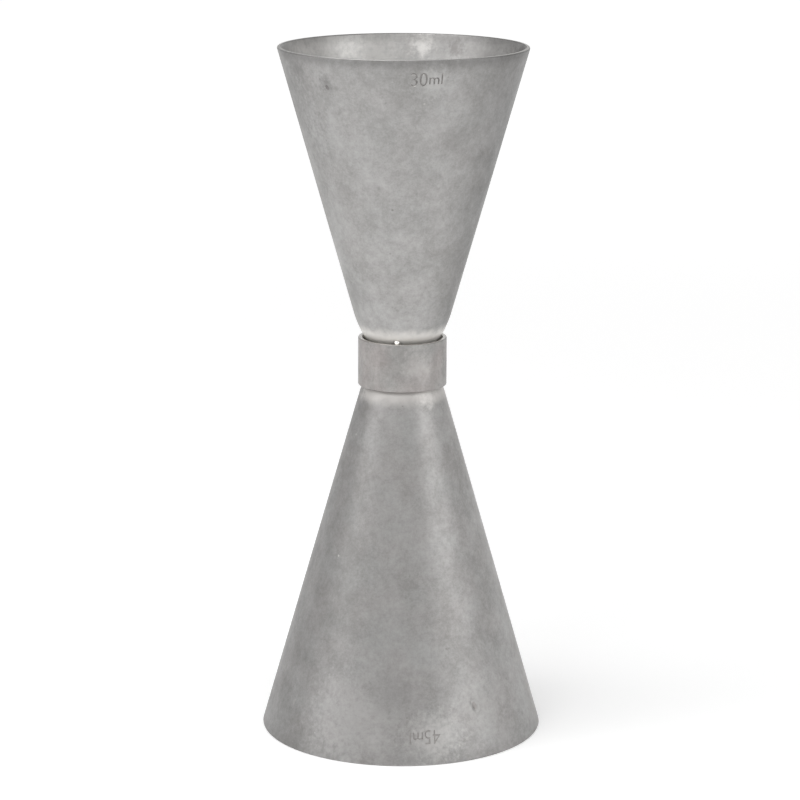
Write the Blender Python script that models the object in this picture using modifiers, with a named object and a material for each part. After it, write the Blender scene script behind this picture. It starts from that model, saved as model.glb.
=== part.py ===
"""Two-ended cocktail jigger of spun sheet steel.

Two conical cups stand bottom to bottom. Filler metal joins their bottoms inside a collar, which sits on
the rounded shoulder of the lower cup and is held by one small tack. Metres, +Z up. The origin is on the
axis, level with the lower rim that the jigger stands on.
"""

import math

import bmesh
import bpy
from mathutils import Matrix, Vector

MM = 0.001

# Both cups
SHEET = 0.8 * MM
LIP_FILLET = 0.25 * MM

# Upper cup, measured outside and up from its bottom. The wall has two tapers, which meet at the shoulder
UPPER_DEPTH = 52.3 * MM
UPPER_RIM_RADIUS = 21.08 * MM
UPPER_SHOULDER_RADIUS = 7.85 * MM
UPPER_SHOULDER_HEIGHT = 5.9 * MM
UPPER_SHOULDER_FILLET = 17.0 * MM
UPPER_BOTTOM_RADIUS = 4.95 * MM
UPPER_BOTTOM_FILLET = 7.5 * MM

# Lower cup, measured in the same way with its mouth up. Its wall is one taper
LOWER_DEPTH = 64.05 * MM
LOWER_RIM_RADIUS = 24.1 * MM
LOWER_BOTTOM_RADIUS = 5.75 * MM
LOWER_BOTTOM_FILLET = 7.0 * MM

# Collar. It runs from its seat on the lower cup up to a narrow gap round the upper cup
COLLAR_BORE_RADIUS = 6.82 * MM
COLLAR_WALL = 0.7 * MM
COLLAR_EDGE_FILLET = 0.15 * MM
COLLAR_SEAT_PLAY = 0.1 * MM
COLLAR_TOP_GAP = 0.44 * MM

# Filler metal between the two bottoms, with a hollow side
BRAZE_THICKNESS = 0.55 * MM
BRAZE_NECK_RADIUS = 3.8 * MM
BRAZE_EDGE_RADIUS = 4.9 * MM
BRAZE_SIDE_FILLET = 1.5 * MM
BRAZE_GAP = 0.3 * MM

# Tack on the collar's top edge, a little to the left of the front, which faces -Y
TACK_RADIUS = 0.46 * MM
TACK_REACH = 0.14 * MM
TACK_RISE = 0.36 * MM
TACK_GAP = 0.1 * MM
TACK_BEARING = math.radians(-98.7)
TACK_MERIDIANS = 20
TACK_PARALLELS = 12

# How closely facets follow a round
TURN_STEPS = 72
CHORD_ERROR = 0.018 * MM
MERGE_DISTANCE = 0.001 * MM
FILLET_SHARE = 0.95

# Colour, roughness and metallic value of each piece
FINISHES = {
    "upper_cup": ((0.40, 0.395, 0.385), 0.42, 1.0),
    "lower_cup": ((0.37, 0.365, 0.355), 0.42, 1.0),
    "collar": ((0.38, 0.36, 0.35), 0.38, 1.0),
    "waist_braze": ((0.55, 0.52, 0.44), 0.35, 1.0),
    "collar_tack": ((0.80, 0.79, 0.77), 0.20, 1.0),
}

# A cup's corners run from the axis along its bottom and up its outside to the rim. Each is a distance
# from the axis, a height above the bottom and the radius that rounds it
UPPER_CORNERS = [
    (0.0, 0.0, 0.0),
    (UPPER_BOTTOM_RADIUS, 0.0, UPPER_BOTTOM_FILLET),
    (UPPER_SHOULDER_RADIUS, UPPER_SHOULDER_HEIGHT, UPPER_SHOULDER_FILLET),
    (UPPER_RIM_RADIUS, UPPER_DEPTH, LIP_FILLET),
]
LOWER_CORNERS = [
    (0.0, 0.0, 0.0),
    (LOWER_BOTTOM_RADIUS, 0.0, LOWER_BOTTOM_FILLET),
    (LOWER_RIM_RADIUS, LOWER_DEPTH, LIP_FILLET),
]

# Level of each cup's bottom above the origin
LOWER_BOTTOM_LEVEL = LOWER_DEPTH
UPPER_BOTTOM_LEVEL = LOWER_BOTTOM_LEVEL + BRAZE_THICKNESS + 2.0 * BRAZE_GAP


def arc(start, centre, turn):
    """Points from start round the centre, close enough together for the chord error."""
    radius = (start - centre).length
    step = 2.0 * math.acos(1.0 - min(CHORD_ERROR / radius, 1.0))
    count = math.ceil(abs(turn) / step)
    return [centre + Matrix.Rotation(turn * i / count, 2) @ (start - centre) for i in range(count + 1)]


def filleted(corners, closed=False):
    """Points of an outline with each corner rounded, as far as the sides beside it leave room."""
    points = [Vector(corner[:2]) for corner in corners]
    count = len(points)
    following = points[1:] + points[:1]
    sides = [end - start for start, end in zip(points, following)]
    turns = [sides[i].angle_signed(sides[i - 1]) for i in range(count)]
    if not closed:
        turns[0] = turns[-1] = 0.0
    setbacks = [corner[2] * math.tan(abs(turn) / 2.0) for corner, turn in zip(corners, turns)]

    shares = [1.0] * count
    for i in range(count if closed else count - 1):
        beyond = (i + 1) % count
        wanted = setbacks[i] + setbacks[beyond]
        room = FILLET_SHARE * sides[i].length
        if wanted > room:
            shares[i] = min(shares[i], room / wanted)
            shares[beyond] = min(shares[beyond], room / wanted)

    outline = []
    for i in range(count):
        setback = setbacks[i] * shares[i]
        if setback == 0.0:
            outline.append(points[i])
            continue
        along = sides[i - 1].normalized()
        to_centre = Vector((-along.y, along.x)) * math.copysign(1.0, turns[i])
        start = points[i] - along * setback
        centre = start + to_centre * setback / math.tan(abs(turns[i]) / 2.0)
        outline += arc(start, centre, turns[i])
    return outline


def moved_walls(corners, inward):
    """A cup's corners with its bottom and walls moved inwards. The rim keeps its level and its lip."""
    points = [Vector(corner[:2]) for corner in corners]
    normals = []
    for start, end in zip(points, points[1:]):
        along = (end - start).normalized()
        normals.append(Vector((-along.y, along.x)))
    moved = [points[0] + normals[0] * inward]
    for point, before, after in zip(points[1:], normals, normals[1:]):
        moved.append(point + (before + after) * inward / (1.0 + before.dot(after)))
    moved.append(points[-1] + Vector((inward / normals[-1].x, 0.0)))
    fillets = [max(fillet - inward, 0.0) for _, _, fillet in corners[:-1]] + [LIP_FILLET]
    return [(point.x, point.y, fillet) for point, fillet in zip(moved, fillets)]


def cup_outline(corners):
    """Section of a cup's sheet: up the inside from the axis, over the lip and down the outside."""
    return filleted(moved_walls(corners, SHEET) + corners[::-1])


def cleared_cup_outline(corners, gap):
    """Section of a solid that fills a cup and stands off its outside by a gap."""
    outside = moved_walls(corners, -gap)
    rim_level = outside[-1][1]
    return filleted([(0.0, rim_level, 0.0)] + outside[::-1])


def height_at(corners, radius):
    """Height above a cup's bottom at which its outside has this radius."""
    outside = filleted(corners)
    for below, above in zip(outside, outside[1:]):
        if below.x < radius <= above.x:
            return below.y + (above.y - below.y) * (radius - below.x) / (above.x - below.x)
    raise ValueError("the cup has no such radius")


def lower_level(radius):
    """Level of the lower cup's outside at this radius."""
    return LOWER_BOTTOM_LEVEL - height_at(LOWER_CORNERS, radius)


def upper_level(radius):
    """Level of the upper cup's outside at this radius."""
    return UPPER_BOTTOM_LEVEL + height_at(UPPER_CORNERS, radius)


COLLAR_BOTTOM_LEVEL = lower_level(COLLAR_BORE_RADIUS - COLLAR_SEAT_PLAY)
COLLAR_TOP_LEVEL = upper_level(COLLAR_BORE_RADIUS - COLLAR_TOP_GAP)


def collar_outline(gap=0.0):
    """Section of the collar above its own bottom edge, or of a ring that stands off it by a gap."""
    inner = COLLAR_BORE_RADIUS - gap
    outer = COLLAR_BORE_RADIUS + COLLAR_WALL + gap
    top = COLLAR_TOP_LEVEL - COLLAR_BOTTOM_LEVEL + gap
    fillet = COLLAR_EDGE_FILLET + gap
    corners = [(outer, top), (outer, -gap), (inner, -gap), (inner, top)]
    return filleted([(radius, level, fillet) for radius, level in corners], closed=True)


def braze_outline(bottom, top):
    """Section of the filler before the cups are cleared from it. Its side is hollow at the neck."""
    neck_level = (top + bottom) / 2.0
    return filleted([
        (0.0, top, 0.0),
        (BRAZE_EDGE_RADIUS, top, 0.0),
        (BRAZE_NECK_RADIUS, neck_level, BRAZE_SIDE_FILLET),
        (BRAZE_EDGE_RADIUS, bottom, 0.0),
        (0.0, bottom, 0.0),
    ])


def clear_scene():
    for scene_object in list(bpy.data.objects):
        bpy.data.objects.remove(scene_object, do_unlink=True)


def new_collection(name):
    collection = bpy.data.collections.new(name)
    bpy.context.scene.collection.children.link(collection)
    return collection


def place(name, mesh, level, collection):
    """A new object on the axis at a level."""
    piece = bpy.data.objects.new(name, mesh)
    piece.location.z = level
    collection.objects.link(piece)
    return piece


def turned(name, outline, level, collection, closed=False):
    """A solid of revolution. The outline runs down its outer side, from top to bottom."""
    count = len(outline)
    edges = [(i, i + 1) for i in range(count - 1)]
    if closed:
        edges.append((count - 1, 0))
    mesh = bpy.data.meshes.new(name)
    mesh.from_pydata([(point.x, 0.0, point.y) for point in outline], edges, [])
    piece = place(name, mesh, level, collection)
    screw = piece.modifiers.new("Turn", 'SCREW')
    screw.steps = TURN_STEPS
    screw.render_steps = TURN_STEPS
    screw.use_merge_vertices = True
    screw.merge_threshold = MERGE_DISTANCE
    screw.use_smooth_shade = True
    return piece


def bead(name, radius, level, collection):
    """A ball of filler on the axis at a level."""
    shape = bmesh.new()
    bmesh.ops.create_uvsphere(shape, u_segments=TACK_MERIDIANS, v_segments=TACK_PARALLELS, radius=radius)
    mesh = bpy.data.meshes.new(name)
    shape.to_mesh(mesh)
    shape.free()
    mesh.shade_smooth()
    return place(name, mesh, level, collection)


def turn_over(piece):
    piece.rotation_euler.x = math.pi


def as_cutter(cutter):
    cutter.hide_render = True
    cutter.display_type = 'WIRE'
    return cutter


def cut(piece, *cutters):
    for cutter in cutters:
        boolean = piece.modifiers.new("Clear " + cutter.name, 'BOOLEAN')
        boolean.operation = 'DIFFERENCE'
        boolean.solver = 'EXACT'
        boolean.object = cutter


def finish(piece, axis):
    """Hang a piece on the jigger's axis and give it its own metal."""
    piece.parent = axis
    colour, roughness, metallic = FINISHES[piece.name]
    material = bpy.data.materials.new(piece.name + "_metal")
    material.use_nodes = True
    shader = material.node_tree.nodes["Principled BSDF"]
    shader.inputs["Base Color"].default_value = (*colour, 1.0)
    shader.inputs["Roughness"].default_value = roughness
    shader.inputs["Metallic"].default_value = metallic
    piece.data.materials.append(material)


def build_cups(parts):
    upper = turned("upper_cup", cup_outline(UPPER_CORNERS), UPPER_BOTTOM_LEVEL, parts)
    lower = turned("lower_cup", cup_outline(LOWER_CORNERS), LOWER_BOTTOM_LEVEL, parts)
    turn_over(lower)
    return [upper, lower]


def build_collar(parts):
    return turned("collar", collar_outline(), COLLAR_BOTTOM_LEVEL, parts, closed=True)


def build_braze(parts, cutters):
    bottom = lower_level(BRAZE_EDGE_RADIUS)
    top = upper_level(BRAZE_EDGE_RADIUS)
    braze = turned("waist_braze", braze_outline(0.0, top - bottom), bottom, parts)
    room_above = turned("upper_cup_and_braze_gap", cleared_cup_outline(UPPER_CORNERS, BRAZE_GAP),
                        UPPER_BOTTOM_LEVEL, cutters)
    room_below = turned("lower_cup_and_braze_gap", cleared_cup_outline(LOWER_CORNERS, BRAZE_GAP),
                        LOWER_BOTTOM_LEVEL, cutters)
    turn_over(room_below)
    cut(braze, as_cutter(room_above), as_cutter(room_below))
    return braze


def build_tack(parts, cutters):
    """The tack sits on the inner side of the collar's top edge and leans on the upper cup."""
    tack = bead("collar_tack", TACK_RADIUS, COLLAR_TOP_LEVEL + TACK_RISE, parts)
    distance = COLLAR_BORE_RADIUS + TACK_REACH
    tack.location.x = distance * math.cos(TACK_BEARING)
    tack.location.y = distance * math.sin(TACK_BEARING)
    tack.rotation_euler.z = TACK_BEARING
    cup_room = turned("upper_cup_and_tack_gap", cleared_cup_outline(UPPER_CORNERS, TACK_GAP),
                      UPPER_BOTTOM_LEVEL, cutters)
    collar_room = turned("collar_and_tack_gap", collar_outline(TACK_GAP), COLLAR_BOTTOM_LEVEL, cutters,
                         closed=True)
    cut(tack, as_cutter(cup_room), as_cutter(collar_room))
    return tack


def main():
    clear_scene()
    parts = new_collection("cocktail_jigger")
    cutters = new_collection("cutters")
    axis = bpy.data.objects.new("jigger_axis", None)
    parts.objects.link(axis)
    pieces = build_cups(parts)
    pieces.append(build_collar(parts))
    pieces.append(build_braze(parts, cutters))
    pieces.append(build_tack(parts, cutters))
    for piece in pieces:
        finish(piece, axis)


main()
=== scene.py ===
"""Looks of the two-ended cocktail jigger: smooth spun cups, their marks and knocks, and each metal's finish.

Metres, +Z up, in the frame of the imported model. The front, where the marks are, faces -Y.
"""

import math
from collections import namedtuple

import bmesh
import bpy
from mathutils import Matrix, Vector


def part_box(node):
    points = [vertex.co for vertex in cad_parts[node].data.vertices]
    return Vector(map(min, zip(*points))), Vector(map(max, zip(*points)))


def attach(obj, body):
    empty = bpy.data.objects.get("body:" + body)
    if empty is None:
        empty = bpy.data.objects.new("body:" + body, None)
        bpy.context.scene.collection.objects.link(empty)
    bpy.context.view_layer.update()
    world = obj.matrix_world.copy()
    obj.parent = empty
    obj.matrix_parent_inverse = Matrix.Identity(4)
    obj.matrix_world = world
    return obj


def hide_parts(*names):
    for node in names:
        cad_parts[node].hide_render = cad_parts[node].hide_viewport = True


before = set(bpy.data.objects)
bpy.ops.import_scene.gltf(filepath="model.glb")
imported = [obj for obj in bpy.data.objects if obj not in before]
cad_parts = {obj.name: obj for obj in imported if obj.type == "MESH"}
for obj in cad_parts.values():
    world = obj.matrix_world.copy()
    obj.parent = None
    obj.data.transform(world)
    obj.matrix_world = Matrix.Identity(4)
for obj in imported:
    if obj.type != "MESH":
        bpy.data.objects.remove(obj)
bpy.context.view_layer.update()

MM = 0.001

# Levels and radii that the frame gives
UPPER_LOW, UPPER_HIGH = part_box("upper_cup")
LOWER_LOW, LOWER_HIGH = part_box("lower_cup")
COLLAR_LOW, COLLAR_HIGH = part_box("collar")
COLLAR_RADIUS = COLLAR_HIGH.x

# Sheet and section of the cups. A corner is a radius, a height above the cup's bottom and a rounding
SHEET = 0.8 * MM
LIP_ROUNDING = 0.25 * MM
UPPER_CORNERS = [
    (0.0, 0.0, 0.0),
    (4.95 * MM, 0.0, 7.5 * MM),
    (7.85 * MM, 5.9 * MM, 17.0 * MM),
    (21.08 * MM, UPPER_HIGH.z - UPPER_LOW.z, LIP_ROUNDING),
]
LOWER_CORNERS = [
    (0.0, 0.0, 0.0),
    (5.75 * MM, 0.0, 7.0 * MM),
    (24.1 * MM, LOWER_HIGH.z - LOWER_LOW.z, LIP_ROUNDING),
]
COLLAR_WALL = 0.7 * MM
COLLAR_ROUNDING = 0.15 * MM

# Tack bead on the collar's top edge, a little to the left of the front
TACK_RADIUS = 0.40 * MM
TACK_REACH = 0.10 * MM
TACK_RISE = 0.30 * MM
TACK_BEARING = math.radians(-97.6)
TACK_STRETCH = (0.95, 1.15, 0.95)

# How finely the pieces are divided
TURN_STEPS = 240
ROUND_STEPS = 6
ROW = 1.0 * MM
KNOCK_CUTS = 9
WELD = 0.001 * MM
SHARP_ANGLE = math.radians(32.0)

# Straight part of a cup's outside, from its upper end to its lower end
Wall = namedtuple("Wall", "top_radius top_level foot_radius foot_level")
UPPER_WALL = Wall(
    UPPER_CORNERS[3][0], UPPER_HIGH.z, UPPER_CORNERS[2][0], UPPER_LOW.z + UPPER_CORNERS[2][1])
LOWER_WALL = Wall(LOWER_CORNERS[1][0], LOWER_HIGH.z, LOWER_CORNERS[2][0], LOWER_LOW.z)

# Capacity marks. Each group of letters fills a box of this width and height, raised above the base line
DIGITS_BOX = (2.7 * MM, 2.4 * MM, 0.0)
UNITS_BOX = (2.25 * MM, 1.8 * MM, 0.35 * MM)
MARK_SPACE = 0.25 * MM
MARK_DEPTH = 0.08 * MM
MARK_STAND = 0.3 * MM
MARK_SLOPE = 0.02
MARK_LIFT = 0.01 * MM
LETTER_STEPS = 4
LETTER_WELD = 1.0e-4
UNDERSIDE = -0.9
UPPER_MARK_WEIGHT = 0.006
LOWER_MARK_WEIGHT = -0.004
UPPER_MARK_BEARING = math.radians(-79.2)
UPPER_MARK_LEVEL = 114.28 * MM
LOWER_MARK_BEARING = math.radians(-79.8)
LOWER_MARK_LEVEL = 4.58 * MM

# Knocks in a cup's outside: bearing and lean in degrees, sizes in millimetres, and how far out the grime
# and painted shade reach as a share of the knock. The first ones show in front
Knock = namedtuple("Knock", "bearing level width height lean depth dirt")
UPPER_KNOCKS = [
    Knock(-128.9, 112.4, 1.1, 1.5, 30.0, 0.12, 0.62),
    Knock(-129.8, 113.4, 0.8, 1.2, 20.0, 0.05, 0.3),
    Knock(38.0, 108.2, 1.3, 0.9, 15.0, 0.10, 0.35),
    Knock(141.0, 96.4, 0.8, 1.4, -30.0, 0.08, 0.0),
]
LOWER_KNOCKS = [
    Knock(-55.1, 8.6, 1.4, 2.2, 18.0, 0.18, 0.62),
    Knock(-56.4, 9.5, 0.8, 1.2, -30.0, 0.08, 0.0),
    Knock(-145.6, 7.4, 0.45, 2.6, -12.0, 0.07, 0.5),
    Knock(-65.6, 18.3, 0.9, 0.35, 25.0, 0.05, 0.5),
    Knock(62.0, 14.0, 1.2, 1.6, -20.0, 0.12, 0.0),
    Knock(118.0, 5.6, 0.4, 2.0, 30.0, 0.06, 0.4),
    Knock(172.0, 33.0, 1.0, 1.2, 10.0, 0.08, 0.0),
]

# Form of a knock in shares of its size and depth, and how near the outside a point of it is
KNOCK_LIMIT = 1.5
KNOCK_REACH = 0.8
DIP_POWER = 1.5
BURR_HEIGHT = 0.15
BURR_PLACE = 1.25
BURR_WIDTH = 0.2
SKIN = 0.25 * SHEET

# Pattern sizes of the steel
CLOUD = 11.0 * MM
TINT = 6.0 * MM
TINT_SHIFT = (0.31, 0.17, 0.23)
RAGGED = 1.6 * MM
GRAIN = 0.25 * MM
GRAIN_HEIGHT = 0.03 * MM
RING = 0.5 * MM
RING_STRETCH = (0.02, 0.02, 1.0)
RING_HEIGHT = 0.02 * MM
STREAK = 2.0 * MM
STREAK_STRETCH = (1.0, 1.0, 0.25)
FLOW = 0.5 * MM
MARK_PATCH = 0.7 * MM

# Specks, as shares of their spacing, and how ragged and soft a blotchy patch is
SPECK_SPACING = 3.4 * MM
SPECK_EDGE = 0.075
SPECK_CORE = 0.03
BLOTCH = 0.9 * MM
BLOTCH_TEAR = 2.4
BLOTCH_FADE = 1.2

# Zones on a cup, from its rim or from the collar's edge, and on the collar: darkening towards the rim,
# painted highlights on the lip and the collar's top edge, a painted sheen beside the collar and painted light
# in the gap
RIMWARD_REACH = 45.0 * MM
UNDER_LIP_REACH = 4.5 * MM
UNDER_LIP_FULL = 0.8 * MM
RIM_BAND = 2.2 * MM
LIP_TOP = 0.12 * MM
LIP_TOP_FULL = 0.02 * MM
SHEEN_REACH = 2.9 * MM
SHEEN_FULL = 0.9 * MM
SHEEN_WANDER = 1.6 * MM
GAP_LIGHT_REACH = 0.2 * MM
GAP_LIGHT_FULL = 0.3 * MM
CUT_EDGE = 0.05 * MM
CUT_EDGE_FULL = 0.01 * MM
CUT_EDGE_POLISH = 0.22
BORE_LIGHT = 0.8 * COLLAR_WALL
BORE_LIGHT_FULL = 0.95 * COLLAR_WALL

# Patches on a cup or the collar: centre and size in millimetres, shade and how much of it shows
UPPER_STAINS_AND_SHADING = [
    # Painted shade on the upper cup's left edge.
    ((-20.0, -3.0, 109.0), 13.0, "#807f7e", 0.6),
    ((-17.5, -10.5, 115.0), 2.6, "#7c7b7a", 0.5),
    ((-12.9, -15.7, 112.9), 1.7, "#7b7a79", 0.6),
    ((4.6, -20.0, 113.6), 3.2, "#bdbcba", 0.4),
    ((8.5, -15.5, 103.5), 3.5, "#858483", 0.2),
    ((-9.5, -5.5, 75.5), 6.0, "#8f8e8d", 0.4),
    ((12.0, 11.0, 100.0), 5.0, "#858483", 0.4),
]
LOWER_STAINS_AND_SHADING = [
    ((6.0, -22.3, 4.6), 5.0, "#c6c4c2", 0.65),
    ((13.5, -17.0, 8.0), 6.0, "#bdbbb9", 0.3),
    ((-8.5, -21.0, 6.5), 10.0, "#bcbab9", 0.45),
    ((-1.0, -20.5, 12.0), 4.5, "#8a8887", 0.4),
    ((-10.0, 17.0, 14.0), 6.0, "#8a8887", 0.4),
    # Painted shade at the left end below the collar, and a painted sheen to the right of the front.
    ((-7.4, -1.5, 59.3), 2.8, "#7f7d7c", 0.85),
    ((4.6, -5.9, 59.4), 2.4, "#dedbd8", 0.5),
]
COLLAR_STAINS_AND_SHADING = [
    # The dark patches at the collar's left and right ends are painted shade.
    ((-7.5, -0.6, 64.3), 3.4, "#7d7a79", 0.5),
    ((2.6, -7.1, 64.6), 3.2, "#b8b4b2", 0.45),
    ((7.5, -0.4, 64.3), 3.0, "#777473", 0.65),
    ((1.5, 7.3, 65.0), 3.0, "#807d7c", 0.4),
]
UPPER_BLOTS = [
    # Painted glint: the bright patch at the back under the rim.
    ((3.3, 19.3, 115.4), 2.3, "#dcdad7", 0.7),
    ((9.0, 17.4, 115.1), 2.0, "#837f7d", 0.5),
    # Painted shade on the right of the back wall.
    ((12.5, 15.3, 115.4), 6.5, "#8c8988", 0.4),
    # Painted light: the pale patches on the left of the back wall.
    ((-17.0, 9.8, 115.0), 5.5, "#d2d0cd", 0.6),
    ((-13.5, 14.2, 114.8), 8.0, "#d2d0cd", 0.4),
    ((-4.8, 19.0, 114.0), 6.0, "#cbc9c6", 0.5),
    # Painted shade inside the rim's right and left ends.
    ((20.0, 2.0, 115.8), 7.5, "#737170", 0.7),
    ((-20.3, 0.5, 116.3), 1.8, "#7a7877", 0.35),
    ((6.0, -8.0, 85.0), 5.0, "#868280", 0.5),
]
LOWER_BLOTS = [
    ((15.0, -14.0, 8.0), 3.0, "#d5d3d0", 0.7),
    ((-6.0, 19.5, 10.0), 4.0, "#868280", 0.5),
    ((4.0, 13.0, 30.0), 5.0, "#c8c5c2", 0.5),
]

# Camera at the photograph's viewing angle
CAMERA_PLACE = Vector((-0.375, -493.96, 171.13)) * MM
CAMERA_PITCH = math.radians(12.984)
CAMERA_ROLL = math.radians(0.21)
CAMERA_LENS = 133.86
CAMERA_SENSOR = 36.0

# Studio. Levels are radiances, where 1 is white
FLOOR_SIZE = 12.0
FLOOR_GLOW_NEAR = 0.28
FLOOR_GLOW_FAR = 0.62
FLOOR_GLOW_REACH = 0.9
WORLD_LEVEL = 0.4
HORIZON_LOW = math.sin(math.radians(8.0))
HORIZON_HIGH = math.sin(math.radians(17.0))


def linear(colour):
    """An sRGB hex colour as linear red, green, blue and alpha."""
    channels = [int(colour[i:i + 2], 16) / 255.0 for i in (1, 3, 5)]
    return [c / 12.92 if c <= 0.04045 else ((c + 0.055) / 1.055) ** 2.4 for c in channels] + [1.0]


def add(tree, kind, settings, links):
    """Add a node with its settings, and with a value or another node's output on each input it names."""
    node = tree.nodes.new(kind)
    for name, value in settings.items():
        setattr(node, name, value)
    for name, value in links.items():
        if isinstance(value, bpy.types.NodeSocket):
            tree.links.new(value, node.inputs[name])
        else:
            node.inputs[name].default_value = value
    return node


def new_material(name):
    material = bpy.data.materials.new(name)
    material.use_nodes = True
    material.node_tree.nodes.clear()
    return material, material.node_tree


def mottle(tree, place, dark, pale, dark_tinted, pale_tinted, tint_share):
    """Clouds that run down to a fine grain, from dark to pale, in two slightly different tints."""
    clouds = add(tree, "ShaderNodeTexNoise", {}, {
        "Vector": place, "Scale": 1.0 / CLOUD, "Detail": 6.0, "Roughness": 0.96})
    tone = add(tree, "ShaderNodeMapRange", {}, {
        "Value": clouds.outputs["Fac"], "From Min": 0.36, "From Max": 0.64}).outputs["Result"]
    plain = add(tree, "ShaderNodeMix", {"data_type": 'RGBA'}, {
        "Factor": tone, 6: linear(dark), 7: linear(pale)})
    tinted = add(tree, "ShaderNodeMix", {"data_type": 'RGBA'}, {
        "Factor": tone, 6: linear(dark_tinted), 7: linear(pale_tinted)})
    apart = add(tree, "ShaderNodeVectorMath", {"operation": 'ADD'}, {0: place, 1: TINT_SHIFT})
    tint = add(tree, "ShaderNodeTexNoise", {}, {
        "Vector": apart.outputs["Vector"], "Scale": 1.0 / TINT, "Detail": 2.0})
    choice = add(tree, "ShaderNodeMapRange", {}, {
        "Value": tint.outputs["Fac"], "From Min": 0.38, "From Max": 0.62, "To Max": tint_share})
    colour = add(tree, "ShaderNodeMix", {"data_type": 'RGBA'}, {
        "Factor": choice.outputs["Result"], 6: plain.outputs[2], 7: tinted.outputs[2]})
    return colour.outputs[2], tone


def specks(tree, place, colour):
    """Pin-head pits, dark, and as many bright nicks, scattered over a colour."""
    cells = add(tree, "ShaderNodeTexVoronoi", {}, {"Vector": place, "Scale": 1.0 / SPECK_SPACING})
    spot = add(tree, "ShaderNodeMapRange", {"interpolation_type": 'SMOOTHSTEP'}, {
        "Value": cells.outputs["Distance"], "From Min": SPECK_EDGE, "From Max": SPECK_CORE})
    kind = add(tree, "ShaderNodeSeparateColor", {}, {"Color": cells.outputs["Color"]})
    bright = add(tree, "ShaderNodeMath", {"operation": 'GREATER_THAN'}, {0: kind.outputs["Red"], 1: 0.5})
    shade = add(tree, "ShaderNodeMix", {"data_type": 'RGBA'}, {
        "Factor": bright.outputs[0], 6: linear("#858381"), 7: linear("#bcbab7")})
    strength = add(tree, "ShaderNodeMath", {"operation": 'MULTIPLY'}, {
        0: spot.outputs["Result"], 1: kind.outputs["Green"]})
    return add(tree, "ShaderNodeMix", {"data_type": 'RGBA'}, {
        "Factor": strength.outputs[0], 6: colour, 7: shade.outputs[2]}).outputs[2]


def blot(tree, place, colour, centre, size, shade, share):
    """A blotchy patch of another shade on a colour."""
    blotch = add(tree, "ShaderNodeTexNoise", {}, {
        "Vector": place, "Scale": 1.0 / BLOTCH, "Detail": 3.0, "Roughness": 0.7})
    away = add(tree, "ShaderNodeVectorMath", {"operation": 'SUBTRACT'}, {0: place, 1: centre})
    reach = add(tree, "ShaderNodeVectorMath", {"operation": 'LENGTH'}, {0: away.outputs["Vector"]})
    spread = add(tree, "ShaderNodeMath", {"operation": 'DIVIDE'}, {0: reach.outputs["Value"], 1: size})
    torn = add(tree, "ShaderNodeMath", {"operation": 'MULTIPLY_ADD'}, {
        0: blotch.outputs["Fac"], 1: -BLOTCH_TEAR, 2: spread.outputs[0]})
    worn = add(tree, "ShaderNodeMapRange", {"interpolation_type": 'SMOOTHSTEP'}, {
        "Value": torn.outputs[0], "From Min": 0.0, "From Max": -BLOTCH_FADE, "To Max": share})
    return add(tree, "ShaderNodeMix", {"data_type": 'RGBA'}, {
        "Factor": worn.outputs["Result"], 6: colour, 7: linear(shade)}).outputs[2]


def rim_band(tree, level, colour, rim_level, side, share):
    """Darkens the last two millimetres of a cup towards its rim, inside or outside."""
    near = add(tree, "ShaderNodeMapRange", {"interpolation_type": 'SMOOTHSTEP'}, {
        "Value": level, "From Min": rim_level - RIM_BAND * side, "From Max": rim_level - LIP_ROUNDING * side,
        "To Max": share})
    return add(tree, "ShaderNodeMix", {"data_type": 'RGBA', "blend_type": 'MULTIPLY'}, {
        "Factor": near.outputs["Result"], 6: colour, 7: linear("#e2e2e2")}).outputs[2]


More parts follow.
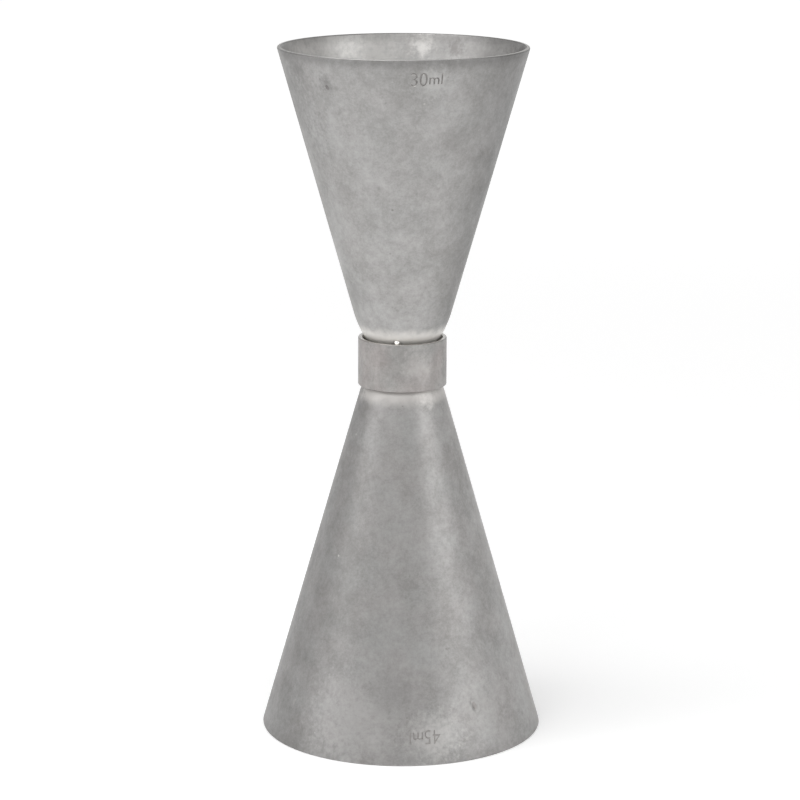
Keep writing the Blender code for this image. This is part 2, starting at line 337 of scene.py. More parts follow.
def tumbled_steel(name, rim_level, collar_level, painted_shade_bearing, painted_shade_shares, tint_share, rim_darkening_and_highlight, sheen_shade,
                  sheen_matt_share, blots):
    """Stainless steel sheet, spun and then tumbled with small stones: a soft grey with fine grain and clouds.
    One side is darkened as painted shade, and the colour darkens towards the rim and in ragged patches under
    the lip, whose top is painted pale as a painted highlight. Beside the collar a pale, less metallic band is
    a painted sheen, and behind the collar the colour turns white as painted light in the gap."""
    material, tree = new_material(name)
    place = add(tree, "ShaderNodeTexCoord", {}, {}).outputs["Object"]
    axes = add(tree, "ShaderNodeSeparateXYZ", {}, {"Vector": place})
    colour, tone = mottle(tree, place, "#979694", "#b0afae", "#999593", "#b3aead", tint_share)
    ragged = add(tree, "ShaderNodeTexNoise", {}, {
        "Vector": place, "Scale": 1.0 / RAGGED, "Detail": 3.0, "Roughness": 0.6}).outputs["Fac"]
    side = 1.0 if rim_level > collar_level else -1.0

    # Painted shade: the side facing the given bearing is darker, and the colour also darkens towards the rim.
    flat = add(tree, "ShaderNodeVectorMath", {"operation": 'MULTIPLY'}, {0: place, 1: (1.0, 1.0, 0.0)})
    around = add(tree, "ShaderNodeVectorMath", {"operation": 'NORMALIZE'}, {0: flat.outputs["Vector"]})
    facing = add(tree, "ShaderNodeVectorMath", {"operation": 'DOT_PRODUCT'}, {
        0: around.outputs["Vector"], 1: (math.cos(painted_shade_bearing), math.sin(painted_shade_bearing), 0.0)})
    darker = add(tree, "ShaderNodeMapRange", {"interpolation_type": 'SMOOTHSTEP'}, {
        "Value": facing.outputs["Value"], "From Min": 0.25, "From Max": 1.0, "To Min": painted_shade_shares[0],
        "To Max": painted_shade_shares[1]})
    rimward_darkening = add(tree, "ShaderNodeMapRange", {}, {
        "Value": axes.outputs["Z"], "From Min": rim_level - RIMWARD_REACH * side, "From Max": rim_level,
        "To Max": 0.4 * rim_darkening_and_highlight})
    darker = add(tree, "ShaderNodeMath", {"operation": 'ADD', "use_clamp": True}, {
        0: darker.outputs["Result"], 1: rimward_darkening.outputs["Result"]})
    colour = add(tree, "ShaderNodeMix", {"data_type": 'RGBA', "blend_type": 'MULTIPLY'}, {
        "Factor": darker.outputs[0], 6: colour, 7: linear("#cecece")}).outputs[2]
    colour = rim_band(tree, axes.outputs["Z"], colour, rim_level, side, 0.3 + rim_darkening_and_highlight)

    # Darker in ragged patches just under the lip.
    under_lip = add(tree, "ShaderNodeMapRange", {"interpolation_type": 'SMOOTHSTEP'}, {
        "Value": axes.outputs["Z"], "From Min": rim_level - UNDER_LIP_REACH * side,
        "From Max": rim_level - UNDER_LIP_FULL * side})
    under_lip_patches = add(tree, "ShaderNodeMapRange", {"interpolation_type": 'SMOOTHSTEP'}, {
        "Value": ragged, "From Min": 0.42, "From Max": 0.66, "To Max": 0.1 + 0.2 * rim_darkening_and_highlight})
    under_lip_darkening = add(tree, "ShaderNodeMath", {"operation": 'MULTIPLY'}, {
        0: under_lip.outputs["Result"], 1: under_lip_patches.outputs["Result"]})
    colour = add(tree, "ShaderNodeMix", {"data_type": 'RGBA'}, {
        "Factor": under_lip_darkening.outputs[0], 6: colour, 7: linear("#7e7d7b")}).outputs[2]

    colour = specks(tree, place, colour)
    # Painted highlight: the lip's top is painted pale.
    lip = add(tree, "ShaderNodeMapRange", {"interpolation_type": 'SMOOTHSTEP'}, {
        "Value": axes.outputs["Z"], "From Min": rim_level - LIP_TOP * side,
        "From Max": rim_level - LIP_TOP_FULL * side, "To Max": rim_darkening_and_highlight})
    colour = add(tree, "ShaderNodeMix", {"data_type": 'RGBA'}, {
        "Factor": lip.outputs["Result"], 6: colour, 7: linear("#e4e3e0")}).outputs[2]

    # Painted sheen: a pale, less metallic band with a ragged edge beside the collar.
    wander = add(tree, "ShaderNodeMath", {"operation": 'MULTIPLY_ADD'}, {
        0: ragged, 1: SHEEN_WANDER, 2: -SHEEN_WANDER / 2.0})
    edge = add(tree, "ShaderNodeMath", {"operation": 'MULTIPLY_ADD'}, {
        0: wander.outputs[0], 1: side, 2: axes.outputs["Z"]})
    sheen_band = add(tree, "ShaderNodeMapRange", {"interpolation_type": 'SMOOTHSTEP'}, {
        "Value": edge.outputs[0], "From Min": collar_level + SHEEN_REACH * side,
        "From Max": collar_level + SHEEN_FULL * side})
    sheen_band = sheen_band.outputs["Result"]
    colour = add(tree, "ShaderNodeMix", {"data_type": 'RGBA'}, {
        "Factor": sheen_band, 6: colour, 7: linear(sheen_shade)}).outputs[2]
    # Painted light: the cup turns white in the gap behind the collar, where shade falls.
    gap_light = add(tree, "ShaderNodeMapRange", {}, {
        "Value": axes.outputs["Z"], "From Min": collar_level + GAP_LIGHT_REACH * side,
        "From Max": collar_level - GAP_LIGHT_FULL * side})
    colour = add(tree, "ShaderNodeMix", {"data_type": 'RGBA'}, {
        "Factor": gap_light.outputs["Result"], 6: colour, 7: linear("#f0eeea")}).outputs[2]
    bare = add(tree, "ShaderNodeMapRange", {}, {"Value": sheen_band, "To Min": 1.0, "To Max": 1.0 - sheen_matt_share})
    for centre, size, shade, share in blots:
        colour = blot(tree, place, colour, Vector(centre) * MM, size * MM, shade, share)

    rough = add(tree, "ShaderNodeMapRange", {}, {"Value": tone, "To Min": 0.49, "To Max": 0.41})
    grain = add(tree, "ShaderNodeTexNoise", {}, {
        "Vector": place, "Scale": 1.0 / GRAIN, "Detail": 2.0, "Roughness": 0.6})
    bump = add(tree, "ShaderNodeBump", {}, {
        "Height": grain.outputs["Fac"], "Strength": 0.3, "Distance": GRAIN_HEIGHT})
    shader = add(tree, "ShaderNodeBsdfPrincipled", {}, {
        "Base Color": colour, "Metallic": bare.outputs["Result"], "Roughness": rough.outputs["Result"],
        "Normal": bump.outputs["Normal"]})
    add(tree, "ShaderNodeOutputMaterial", {}, {"Surface": shader.outputs["BSDF"]})
    return material


def turned_steel(name, rim_level, mouth_up, blots):
    """The inside of a cup, turned on the spinning lathe and less tumbled: a little smoother and paler, with
    faint rings, blotchy patches that are stains, painted light, painted shade and a painted glint, and
    painted shade towards the rim."""
    material, tree = new_material(name)
    place = add(tree, "ShaderNodeTexCoord", {}, {}).outputs["Object"]
    axes = add(tree, "ShaderNodeSeparateXYZ", {}, {"Vector": place})
    colour, tone = mottle(tree, place, "#a6a5a4", "#bab9b7", "#a7a4a2", "#bbb8b6", tint_share=0.4)
    side = 1.0 if mouth_up else -1.0
    along = add(tree, "ShaderNodeVectorMath", {"operation": 'MULTIPLY'}, {0: place, 1: RING_STRETCH})
    rings = add(tree, "ShaderNodeTexNoise", {}, {
        "Vector": along.outputs["Vector"], "Scale": 1.0 / RING, "Detail": 3.0, "Roughness": 0.7})
    ring = add(tree, "ShaderNodeMapRange", {}, {
        "Value": rings.outputs["Fac"], "From Min": 0.4, "From Max": 0.7, "To Max": 0.12})
    colour = add(tree, "ShaderNodeMix", {"data_type": 'RGBA'}, {
        "Factor": ring.outputs["Result"], 6: colour, 7: linear("#7f7d7b")}).outputs[2]
    for centre, size, shade, share in blots:
        colour = blot(tree, place, colour, Vector(centre) * MM, size * MM, shade, share)
    colour = specks(tree, place, colour)
    # Painted shade: darker towards the rim, where the inside reflects the dark wall opposite.
    colour = rim_band(tree, axes.outputs["Z"], colour, rim_level, side, share=1.0)
    rough = add(tree, "ShaderNodeMapRange", {}, {"Value": tone, "To Min": 0.47, "To Max": 0.38})
    bump = add(tree, "ShaderNodeBump", {}, {
        "Height": rings.outputs["Fac"], "Strength": 0.25, "Distance": RING_HEIGHT})
    shader = add(tree, "ShaderNodeBsdfPrincipled", {}, {
        "Base Color": colour, "Metallic": 1.0, "Roughness": rough.outputs["Result"],
        "Normal": bump.outputs["Normal"]})
    add(tree, "ShaderNodeOutputMaterial", {}, {"Surface": shader.outputs["BSDF"]})
    return material


def blasted_steel():
    """Stainless steel tube, cut, blasted and stained a little by the brazing heat: a warm soft grey with
    faint upright streaks, darker ends that are painted shade, a painted highlight on its top edge and painted
    light, white, in its bore."""
    material, tree = new_material("blasted_steel_tube")
    place = add(tree, "ShaderNodeTexCoord", {}, {}).outputs["Object"]
    axes = add(tree, "ShaderNodeSeparateXYZ", {}, {"Vector": place})
    colour, tone = mottle(tree, place, "#8a8987", "#a4a3a1", "#918b89", "#aaa4a2", tint_share=0.7)
    along = add(tree, "ShaderNodeVectorMath", {"operation": 'MULTIPLY'}, {0: place, 1: STREAK_STRETCH})
    streaks = add(tree, "ShaderNodeTexNoise", {}, {
        "Vector": along.outputs["Vector"], "Scale": 1.0 / STREAK, "Detail": 4.0, "Roughness": 0.7})
    streak = add(tree, "ShaderNodeMapRange", {}, {
        "Value": streaks.outputs["Fac"], "From Min": 0.42, "From Max": 0.66, "To Max": 0.3})
    colour = add(tree, "ShaderNodeMix", {"data_type": 'RGBA'}, {
        "Factor": streak.outputs["Result"], 6: colour, 7: linear("#868381")}).outputs[2]
    colour = specks(tree, place, colour)
    for centre, size, shade, share in COLLAR_STAINS_AND_SHADING:
        colour = blot(tree, place, colour, Vector(centre) * MM, size * MM, shade, share)
    middle = (COLLAR_LOW.z + COLLAR_HIGH.z) / 2.0
    half = (COLLAR_HIGH.z - COLLAR_LOW.z) / 2.0
    off = add(tree, "ShaderNodeMath", {"operation": 'SUBTRACT'}, {0: axes.outputs["Z"], 1: middle})
    # Painted highlight: the top edge is painted pale and made smoother.
    edge = add(tree, "ShaderNodeMapRange", {"interpolation_type": 'SMOOTHSTEP'}, {
        "Value": off.outputs[0], "From Min": half - CUT_EDGE, "From Max": half - CUT_EDGE_FULL,
        "To Max": 0.7})
    flat = add(tree, "ShaderNodeVectorMath", {"operation": 'MULTIPLY'}, {0: place, 1: (1.0, 1.0, 0.0)})
    reach = add(tree, "ShaderNodeVectorMath", {"operation": 'LENGTH'}, {0: flat.outputs["Vector"]})
    # Painted light: the bore is painted white and less metallic, in the gap where shade falls.
    bore = add(tree, "ShaderNodeMapRange", {}, {
        "Value": reach.outputs["Value"], "From Min": COLLAR_RADIUS - BORE_LIGHT,
        "From Max": COLLAR_RADIUS - BORE_LIGHT_FULL})
    edge_and_bore_light = add(tree, "ShaderNodeMath", {"operation": 'MAXIMUM'}, {
        0: edge.outputs["Result"], 1: bore.outputs["Result"]})
    colour = add(tree, "ShaderNodeMix", {"data_type": 'RGBA'}, {
        "Factor": edge_and_bore_light.outputs[0], 6: colour, 7: linear("#f0eeea")}).outputs[2]
    bare = add(tree, "ShaderNodeMapRange", {}, {
        "Value": bore.outputs["Result"], "To Min": 1.0, "To Max": 0.3})
    rough = add(tree, "ShaderNodeMapRange", {}, {"Value": tone, "To Min": 0.46, "To Max": 0.38})
    rough = add(tree, "ShaderNodeMath", {"operation": 'MULTIPLY_ADD'}, {
        0: edge.outputs["Result"], 1: -CUT_EDGE_POLISH, 2: rough.outputs["Result"]})
    grain = add(tree, "ShaderNodeTexNoise", {}, {
        "Vector": place, "Scale": 1.0 / GRAIN, "Detail": 2.0, "Roughness": 0.6})
    bump = add(tree, "ShaderNodeBump", {}, {
        "Height": grain.outputs["Fac"], "Strength": 0.3, "Distance": GRAIN_HEIGHT})
    shader = add(tree, "ShaderNodeBsdfPrincipled", {}, {
        "Base Color": colour, "Metallic": bare.outputs["Result"], "Roughness": rough.outputs[0],
        "Normal": bump.outputs["Normal"]})
    add(tree, "ShaderNodeOutputMaterial", {}, {"Surface": shader.outputs["BSDF"]})
    return material


def filler_metal(name, darker, bright, roughness):
    """Silver brazing alloy: pale, slightly yellow and smooth where it has flowed."""
    material, tree = new_material(name)
    place = add(tree, "ShaderNodeTexCoord", {}, {}).outputs["Object"]
    flow = add(tree, "ShaderNodeTexNoise", {}, {
        "Vector": place, "Scale": 1.0 / FLOW, "Detail": 2.0})
    colour = add(tree, "ShaderNodeMix", {"data_type": 'RGBA'}, {
        "Factor": flow.outputs["Fac"], 6: linear(darker), 7: linear(bright)})
    shader = add(tree, "ShaderNodeBsdfPrincipled", {}, {
        "Base Color": colour.outputs[2], "Metallic": 1.0, "Roughness": roughness})
    add(tree, "ShaderNodeOutputMaterial", {}, {"Surface": shader.outputs["BSDF"]})
    return material


def mark_and_knock_steel(name, dark, pale, roughness):
    """Steel of the stamped marks and the knocks, in patches from a dark to a pale shade. Their darker floors
    are partly grime and oxide and partly painted shade, and the pale steel on the letters' slopes is a
    painted highlight."""
    material, tree = new_material(name)
    place = add(tree, "ShaderNodeTexCoord", {}, {}).outputs["Object"]
    patchy = add(tree, "ShaderNodeTexNoise", {}, {
        "Vector": place, "Scale": 1.0 / MARK_PATCH, "Detail": 2.0})
    share = add(tree, "ShaderNodeMapRange", {}, {
        "Value": patchy.outputs["Fac"], "From Min": 0.3, "From Max": 0.7})
    colour = add(tree, "ShaderNodeMix", {"data_type": 'RGBA'}, {
        "Factor": share.outputs["Result"], 6: linear(dark), 7: linear(pale)})
    shader = add(tree, "ShaderNodeBsdfPrincipled", {}, {
        "Base Color": colour.outputs[2], "Metallic": 1.0, "Roughness": roughness})
    add(tree, "ShaderNodeOutputMaterial", {}, {"Surface": shader.outputs["BSDF"]})
    return material


def studio_paper():
    """Matt white paper. It is white to the eye and in the metal, and it still takes the jigger's shadow.
    From below it isn't there, so the jigger can be seen from underneath."""
    material, tree = new_material("white_studio_paper")
    place = add(tree, "ShaderNodeTexCoord", {}, {}).outputs["Object"]
    distance = add(tree, "ShaderNodeVectorMath", {"operation": 'LENGTH'}, {0: place})
    level = add(tree, "ShaderNodeMapRange", {"interpolation_type": 'SMOOTHSTEP'}, {
        "Value": distance.outputs["Value"], "From Min": 0.0, "From Max": FLOOR_GLOW_REACH,
        "To Min": FLOOR_GLOW_NEAR, "To Max": FLOOR_GLOW_FAR})
    path = add(tree, "ShaderNodeLightPath", {}, {})
    seen = add(tree, "ShaderNodeMath", {"operation": 'MAXIMUM'}, {
        0: path.outputs["Is Camera Ray"], 1: path.outputs["Is Glossy Ray"]})
    seen = add(tree, "ShaderNodeMath", {"operation": 'MAXIMUM'}, {
        0: seen.outputs[0], 1: path.outputs["Is Transmission Ray"]})
    glow = add(tree, "ShaderNodeMath", {"operation": 'MULTIPLY'}, {
        0: seen.outputs[0], 1: level.outputs["Result"]})
    paper = add(tree, "ShaderNodeBsdfPrincipled", {}, {
        "Base Color": linear("#f2f2f2"), "Roughness": 1.0, "Specular IOR Level": 0.0,
        "Emission Color": linear("#ffffff"), "Emission Strength": glow.outputs[0]})
    below = add(tree, "ShaderNodeNewGeometry", {}, {}).outputs["Backfacing"]
    clear = add(tree, "ShaderNodeBsdfTransparent", {}, {})
    shader = add(tree, "ShaderNodeMixShader", {}, {
        "Fac": below, 1: paper.outputs["BSDF"], 2: clear.outputs["BSDF"]})
    add(tree, "ShaderNodeOutputMaterial", {}, {"Surface": shader.outputs["Shader"]})
    return material


def inside_of(corners):
    """A cup's inside corners, one sheet in from its outside ones and level with it at the rim."""
    points = [Vector(corner[:2]) for corner in corners]
    normals = []
    for start, end in zip(points, points[1:]):
        along = (end - start).normalized()
        normals.append(Vector((-along.y, along.x)))
    moved = [points[0] + normals[0] * SHEET]
    for point, before, after in zip(points[1:], normals, normals[1:]):
        moved.append(point + (before + after) * SHEET / (1.0 + before.dot(after)))
    moved.append(points[-1] + Vector((SHEET / normals[-1].x, 0.0)))
    roundings = [max(corner[2] - SHEET, 0.0) for corner in corners[:-1]] + [corners[-1][2]]
    return [(*point, rounding) for point, rounding in zip(moved, roundings)]


def section(corners, closed=False):
    """Half section of a turned piece from its corners, with each corner rounded and long sides in rows."""
    shape = bmesh.new()
    verts = [shape.verts.new((radius, 0.0, level)) for radius, level, _ in corners]
    following = verts[1:] + verts[:1] if closed else verts[1:]
    for start, end in zip(verts, following):
        shape.edges.new((start, end))
    for vert, (_, _, rounding) in zip(verts, corners):
        if rounding == 0.0:
            continue
        sides = [edge.other_vert(vert).co - vert.co for edge in vert.link_edges]
        turn = math.pi - sides[0].angle(sides[1])
        bmesh.ops.bevel(
            shape, geom=[vert], offset=rounding * math.tan(turn / 2.0), offset_type='OFFSET',
            segments=ROUND_STEPS, profile=0.5, affect='VERTICES', material=-1)
    for edge in shape.edges[:]:
        rows = round(edge.calc_length() / ROW)
        if rows > 1:
            bmesh.ops.subdivide_edges(shape, edges=[edge], cuts=rows - 1)
    return shape


def spin_round(shape):
    """Turn a half section into a closed body about the Z axis."""
    bmesh.ops.spin(
        shape, geom=shape.verts[:] + shape.edges[:], cent=(0.0, 0.0, 0.0), axis=(0.0, 0.0, 1.0),
        dvec=(0.0, 0.0, 0.0), angle=math.tau, steps=TURN_STEPS, use_merge=True)
    bmesh.ops.remove_doubles(shape, verts=shape.verts[:], dist=WELD)
    bmesh.ops.recalc_face_normals(shape, faces=shape.faces[:])


def spun_cup(corners, bottom_level, mouth_up):
    """A cup with its bottom at a level and its mouth up or down. Faces that look at the mouth are inside."""
    shape = section(inside_of(corners) + corners[::-1])
    spin_round(shape)
    mouth = Vector((0.0, 0.0, corners[-1][1]))
    for face in shape.faces:
        centre = face.calc_center_median()
        if face.normal.dot(mouth - centre) > WELD:
            face.material_index = 1
    if not mouth_up:
        bmesh.ops.rotate(shape, verts=shape.verts[:], cent=(0.0, 0.0, 0.0),
                         matrix=Matrix.Rotation(math.pi, 3, 'X'))
    bmesh.ops.translate(shape, verts=shape.verts[:], vec=(0.0, 0.0, bottom_level))
    return shape


def radius_at(wall, level):
    """Radius of a cup's outside at a level."""
    share = (level - wall.foot_level) / (wall.top_level - wall.foot_level)
    return wall.foot_radius + share * (wall.top_radius - wall.foot_radius)


def on_wall(wall, bearing, level, right=0.0, up=0.0, out=0.0):
    """A point on a cup's outside, moved round it, up along it and out from it."""
    along = Vector((wall.top_radius - wall.foot_radius, wall.top_level - wall.foot_level)).normalized()
    radius = radius_at(wall, level)
    turned = bearing + right / radius
    distance = radius + up * along.x + out * along.y
    return Vector((
        distance * math.cos(turned), distance * math.sin(turned), level + up * along.y - out * along.x))


def knock_place(wall, knock, point):
    """How far a point of a cup's outside is from a knock's centre, in knock sizes, and its share of the way
    from the centre to the knock's edge. A point elsewhere is far away."""
    size = max(knock.width, knock.height) * MM
    rise = point.z - knock.level * MM
    off = abs(math.hypot(point.x, point.y) - radius_at(wall, point.z))
    if abs(rise) > KNOCK_LIMIT * size or off > SKIN:
        return math.inf, math.inf
    turn = math.remainder(math.atan2(point.y, point.x) - math.radians(knock.bearing), math.tau)
    right = turn * radius_at(wall, point.z)
    up = rise * math.hypot(1.0, (wall.top_radius - wall.foot_radius) / (wall.top_level - wall.foot_level))
    lean = math.radians(knock.lean)
    across = (right * math.cos(lean) + up * math.sin(lean)) / (knock.width * MM / 2.0)
    along = (up * math.cos(lean) - right * math.sin(lean)) / (knock.height * MM / 2.0)
    return max(abs(right), abs(up)) / size, math.hypot(across, along)


def press_knocks(shape, wall, knocks):
    """Divide a cup's outside finely round each knock, and press the knocks into it with a low burr."""
    near = set()
    for face in shape.faces:
        centre = face.calc_center_median()
        if any(knock_place(wall, knock, centre)[0] < KNOCK_REACH for knock in knocks):
            near.update(face.edges)
    bmesh.ops.subdivide_edges(shape, edges=list(near), cuts=KNOCK_CUTS, use_grid_fill=True)
    for face in shape.faces:
        centre = face.calc_center_median()
        if any(knock_place(wall, knock, centre)[1] < knock.dirt for knock in knocks):
            face.material_index = 2
    for vert in shape.verts:
        out = 0.0
        for knock in knocks:
            share = knock_place(wall, knock, vert.co)[1]
            dip = max(0.0, 1.0 - share * share) ** DIP_POWER
            burr = BURR_HEIGHT * math.exp(-((share - BURR_PLACE) / BURR_WIDTH) ** 2)
            out += (burr - dip) * knock.depth * MM
        if out != 0.0:
            vert.co = on_wall(wall, math.atan2(vert.co.y, vert.co.x), vert.co.z, out=out)


def letters(text, box, left, weight):
    """Letters in the XY plane that fill a box and narrow towards their underside, as a bmesh."""
    width, height, raised = box
    curve = bpy.data.curves.new(text, 'FONT')
    curve.body = text
    curve.extrude = 1.0
    curve.resolution_u = LETTER_STEPS
    curve.offset = weight
    holder = bpy.data.objects.new(text, curve)
    bpy.context.scene.collection.objects.link(holder)
    mesh = bpy.data.meshes.new_from_object(holder.evaluated_get(bpy.context.evaluated_depsgraph_get()))
    bpy.data.objects.remove(holder)
    shape = bmesh.new()
    shape.from_mesh(mesh)
    bpy.data.meshes.remove(mesh)
    bmesh.ops.remove_doubles(shape, verts=shape.verts[:], dist=LETTER_WELD)
    bmesh.ops.recalc_face_normals(shape, faces=shape.faces[:])
    caps = [face for face in shape.faces if face.normal.z < UNDERSIDE]
    slopes = bmesh.ops.inset_region(
        shape, faces=caps, thickness=MARK_SLOPE, use_boundary=True, use_even_offset=True)["faces"]
    for face in slopes:
        face.material_index = 1
    floor = {vert for face in caps for vert in face.verts}
    low = Vector([min(vert.co[i] for vert in shape.verts) for i in range(2)])
    high = Vector([max(vert.co[i] for vert in shape.verts) for i in range(2)])
    for vert in shape.verts:
        vert.co.x = left + (vert.co.x - low.x) / (high.x - low.x) * width
        vert.co.y = raised + (vert.co.y - low.y) / (high.y - low.y) * height
        if vert in floor:
            vert.co.z = -MARK_DEPTH
        else:
            vert.co.z = MARK_STAND if vert.co.z > 0.0 else MARK_LIFT
    return shape


def capacity_mark(name, number, weight, wall, bearing, level, upright, *materials):
    """A cutter for a capacity mark, wrapped on a cup's outside and centred on a bearing and a level."""
    total = DIGITS_BOX[0] + MARK_SPACE + UNITS_BOX[0]
    groups = [letters(number, DIGITS_BOX, -total / 2.0, weight),
              letters("ml", UNITS_BOX, total / 2.0 - UNITS_BOX[0], weight)]
    mesh = bpy.data.meshes.new(name)
    whole = bmesh.new()
    for shape in groups:
        shape.to_mesh(mesh)
        shape.free()
        whole.from_mesh(mesh)
    side = 1.0 if upright else -1.0
    for vert in whole.verts:
        right = side * vert.co.x
        up = side * (vert.co.y - DIGITS_BOX[1] / 2.0)
        vert.co = on_wall(wall, bearing, level, right, up, vert.co.z)
    whole.to_mesh(mesh)
    whole.free()
    for material in materials:
        mesh.materials.append(material)
    return mesh


def new_piece(name, shape, *materials):
    """A piece at the origin from a bmesh, with its materials."""
    mesh = bpy.data.meshes.new(name)
    shape.to_mesh(mesh)
    shape.free()
    for material in materials:
        mesh.materials.append(material)
    piece = bpy.data.objects.new(name, mesh)
    bpy.context.scene.collection.objects.link(piece)
    return piece


def cut(piece, cutter_mesh, material_mode):
    """Take a cutter's shape out of a piece for good."""
    cutter = bpy.data.objects.new(cutter_mesh.name, cutter_mesh)
    bpy.context.scene.collection.objects.link(cutter)
    boolean = piece.modifiers.new("Cut", 'BOOLEAN')
    boolean.operation = 'DIFFERENCE'
    boolean.solver = 'EXACT'
    boolean.material_mode = material_mode
    boolean.object = cutter
    depsgraph = bpy.context.evaluated_depsgraph_get()
    mesh = bpy.data.meshes.new_from_object(piece.evaluated_get(depsgraph))
    piece.modifiers.clear()
    old = piece.data
    piece.data = mesh
    mesh.name = piece.name
    bpy.data.meshes.remove(old)
    bpy.data.objects.remove(cutter)


def hand_over(piece, node):
    """Shade a piece, and let it stand for its CAD node."""
    piece.data.shade_smooth()
    piece.data.set_sharp_from_angle(angle=SHARP_ANGLE)
    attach(piece, "root")
    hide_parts(node)


def make_cups():
    # Mark and knock floors: partly grime, partly painted shade.
    groove = mark_and_knock_steel("grime_and_shade_groove_steel", "#7b7978", "#949290", roughness=0.55)
    scuff = mark_and_knock_steel("scuffed_groove_steel", "#979492", "#aba8a6", roughness=0.5)
    # Painted highlight: pale steel on the letters' slopes.
    edge = mark_and_knock_steel("slope_highlight_steel", "#aeacaa", "#c2c0bd", roughness=0.4)
    shape = spun_cup(UPPER_CORNERS, UPPER_LOW.z, mouth_up=True)
    press_knocks(shape, UPPER_WALL, UPPER_KNOCKS)
    upper = new_piece(
        "upper_cup_shell", shape,
        tumbled_steel(
            "tumbled_steel_upper", UPPER_HIGH.z, COLLAR_HIGH.z, painted_shade_bearing=math.radians(8.0),
            painted_shade_shares=(0.0, 0.75), tint_share=0.15, rim_darkening_and_highlight=0.8, sheen_shade="#dad7d3", sheen_matt_share=0.7,
            blots=UPPER_STAINS_AND_SHADING),
        turned_steel("turned_steel_upper", UPPER_HIGH.z, mouth_up=True, blots=UPPER_BLOTS), groove)
    mark = capacity_mark(
        "upper_mark", "30", UPPER_MARK_WEIGHT, UPPER_WALL, UPPER_MARK_BEARING, UPPER_MARK_LEVEL, True,
        groove, edge)
    cut(upper, mark, 'TRANSFER')
    hand_over(upper, "upper_cup")

    shape = spun_cup(LOWER_CORNERS, LOWER_HIGH.z, mouth_up=False)
    press_knocks(shape, LOWER_WALL, LOWER_KNOCKS)
    lower = new_piece(
        "lower_cup_shell", shape,
        tumbled_steel(
            "tumbled_steel_lower", LOWER_LOW.z, COLLAR_LOW.z, painted_shade_bearing=math.radians(183.0),
            painted_shade_shares=(0.2, 0.75), tint_share=0.3, rim_darkening_and_highlight=0.0, sheen_shade="#bcb9b6", sheen_matt_share=0.45,
            blots=LOWER_STAINS_AND_SHADING),
        turned_steel("turned_steel_lower", LOWER_LOW.z, mouth_up=False, blots=LOWER_BLOTS), scuff)
    mark = capacity_mark(
        "lower_mark", "45", LOWER_MARK_WEIGHT, LOWER_WALL, LOWER_MARK_BEARING, LOWER_MARK_LEVEL, False,
        scuff, edge)
    cut(lower, mark, 'TRANSFER')
    hand_over(lower, "lower_cup")
    return upper


def make_collar():
    inner = COLLAR_RADIUS - COLLAR_WALL
    corners = [(inner, COLLAR_HIGH.z), (COLLAR_RADIUS, COLLAR_HIGH.z), (COLLAR_RADIUS, COLLAR_LOW.z),
               (inner, COLLAR_LOW.z)]
    shape = section([(*corner, COLLAR_ROUNDING) for corner in corners], closed=True)
    spin_round(shape)
    collar = new_piece("collar_band", shape, blasted_steel())
    hand_over(collar, "collar")
    return collar


def make_tack(upper, collar):
    """A drop of filler, run a little along the collar's edge and seated on the collar and the upper cup."""
    shape = bmesh.new()
    bmesh.ops.create_icosphere(shape, subdivisions=4, radius=TACK_RADIUS)
    bmesh.ops.scale(shape, verts=shape.verts[:], vec=TACK_STRETCH)
    bmesh.ops.rotate(shape, verts=shape.verts[:], cent=(0.0, 0.0, 0.0),
                     matrix=Matrix.Rotation(TACK_BEARING, 3, 'Z'))
    distance = COLLAR_RADIUS - COLLAR_WALL + TACK_REACH
    bmesh.ops.translate(shape, verts=shape.verts[:], vec=(
        distance * math.cos(TACK_BEARING), distance * math.sin(TACK_BEARING), COLLAR_HIGH.z + TACK_RISE))
    filler = filler_metal("bright_tack_filler", "#f3f1ec", "#fdfcfa", roughness=0.16)
    bead = new_piece("tack_bead", shape, filler)
    cut(bead, collar.data.copy(), 'INDEX')
    cut(bead, upper.data.copy(), 'INDEX')
    hand_over(bead, "collar_tack")


def dress_braze():
    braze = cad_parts["waist_braze"]
    braze.data.materials.clear()
    braze.data.materials.append(filler_metal("silver_braze_filler", "#b3a98f", "#d3cab2", roughness=0.35))


def make_floor():
    shape = bmesh.new()
    bmesh.ops.create_grid(shape, x_segments=1, y_segments=1, size=FLOOR_SIZE / 2.0)
    floor = new_piece("studio_floor", shape, studio_paper())


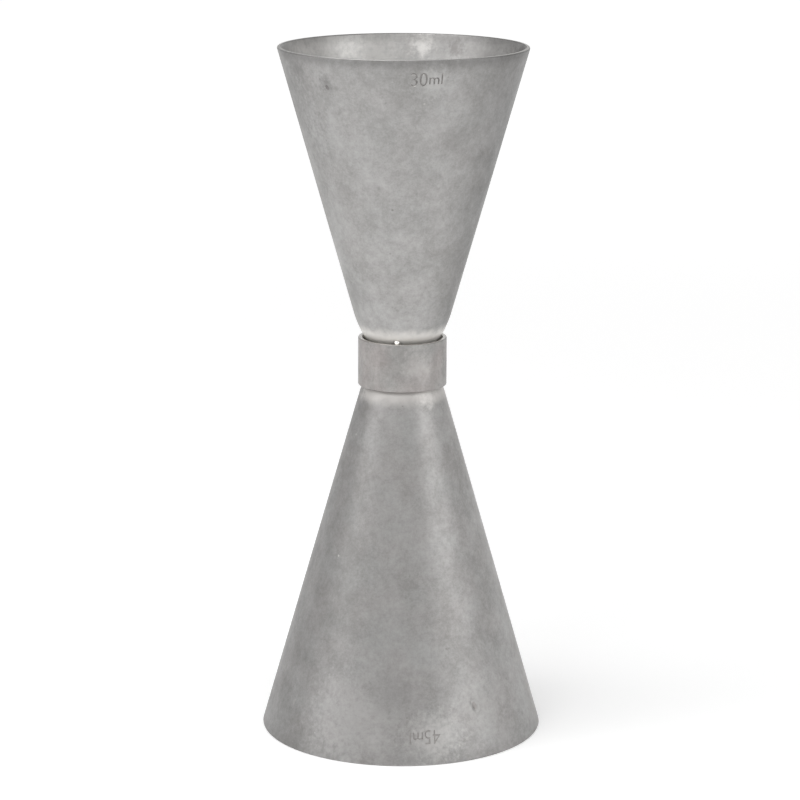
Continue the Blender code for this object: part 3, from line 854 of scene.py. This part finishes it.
def make_light(name, azimuth, elevation, distance, width, height, level):
    """A soft box aimed at the waist, seen from it at an azimuth (0 is the camera's side) and an elevation."""
    lamp = bpy.data.lights.new(name, 'AREA')
    lamp.shape = 'RECTANGLE'
    lamp.size = width
    lamp.size_y = height
    lamp.energy = math.pi * width * height * level
    light = bpy.data.objects.new(name, lamp)
    bpy.context.scene.collection.objects.link(light)
    turn = math.radians(azimuth)
    lift = math.radians(elevation)
    away = Vector((math.sin(turn) * math.cos(lift), -math.cos(turn) * math.cos(lift), math.sin(lift)))
    light.location = Vector((0.0, 0.0, COLLAR_LOW.z)) + away * distance
    light.rotation_euler = away.to_track_quat('Z', 'Y').to_euler()
    light.visible_camera = False


def make_studio():
    scene = bpy.context.scene
    scene.view_settings.view_transform = 'Standard'
    world = bpy.data.worlds.new("studio_air")
    world.use_nodes = True
    tree = world.node_tree
    tree.nodes.clear()
    direction = add(tree, "ShaderNodeTexCoord", {}, {}).outputs["Generated"]
    rise = add(tree, "ShaderNodeSeparateXYZ", {}, {"Vector": direction})
    level = add(tree, "ShaderNodeMapRange", {"interpolation_type": 'SMOOTHSTEP'}, {
        "Value": rise.outputs["Z"], "From Min": HORIZON_LOW, "From Max": HORIZON_HIGH,
        "To Min": 1.0, "To Max": WORLD_LEVEL})
    air = add(tree, "ShaderNodeBackground", {}, {
        "Color": linear("#ffffff"), "Strength": level.outputs["Result"]})
    add(tree, "ShaderNodeOutputWorld", {}, {"Surface": air.outputs["Background"]})
    scene.world = world
    make_light(
        "soft_box_front", azimuth=-8.0, elevation=45.0, distance=0.70, width=0.70, height=0.35, level=1.4)
    make_light(
        "soft_box_left", azimuth=-72.0, elevation=30.0, distance=0.70, width=0.40, height=0.62, level=1.15)
    make_light(
        "soft_box_right", azimuth=60.0, elevation=26.0, distance=0.75, width=0.46, height=0.60, level=1.3)
    make_light(
        "soft_box_above", azimuth=-56.0, elevation=64.0, distance=0.50, width=0.40, height=0.40, level=1.85)


def make_camera():
    lens = bpy.data.cameras.new("camera")
    lens.lens = CAMERA_LENS
    lens.sensor_width = CAMERA_SENSOR
    camera = bpy.data.objects.new("camera", lens)
    bpy.context.scene.collection.objects.link(camera)
    camera.location = CAMERA_PLACE
    camera.rotation_euler = (math.pi / 2.0 - CAMERA_PITCH, 0.0, 0.0)
    camera.rotation_euler.rotate_axis('Z', CAMERA_ROLL)
    bpy.context.scene.camera = camera


upper_cup = make_cups()
make_tack(upper_cup, make_collar())
dress_braze()
make_floor()
make_studio()
make_camera()
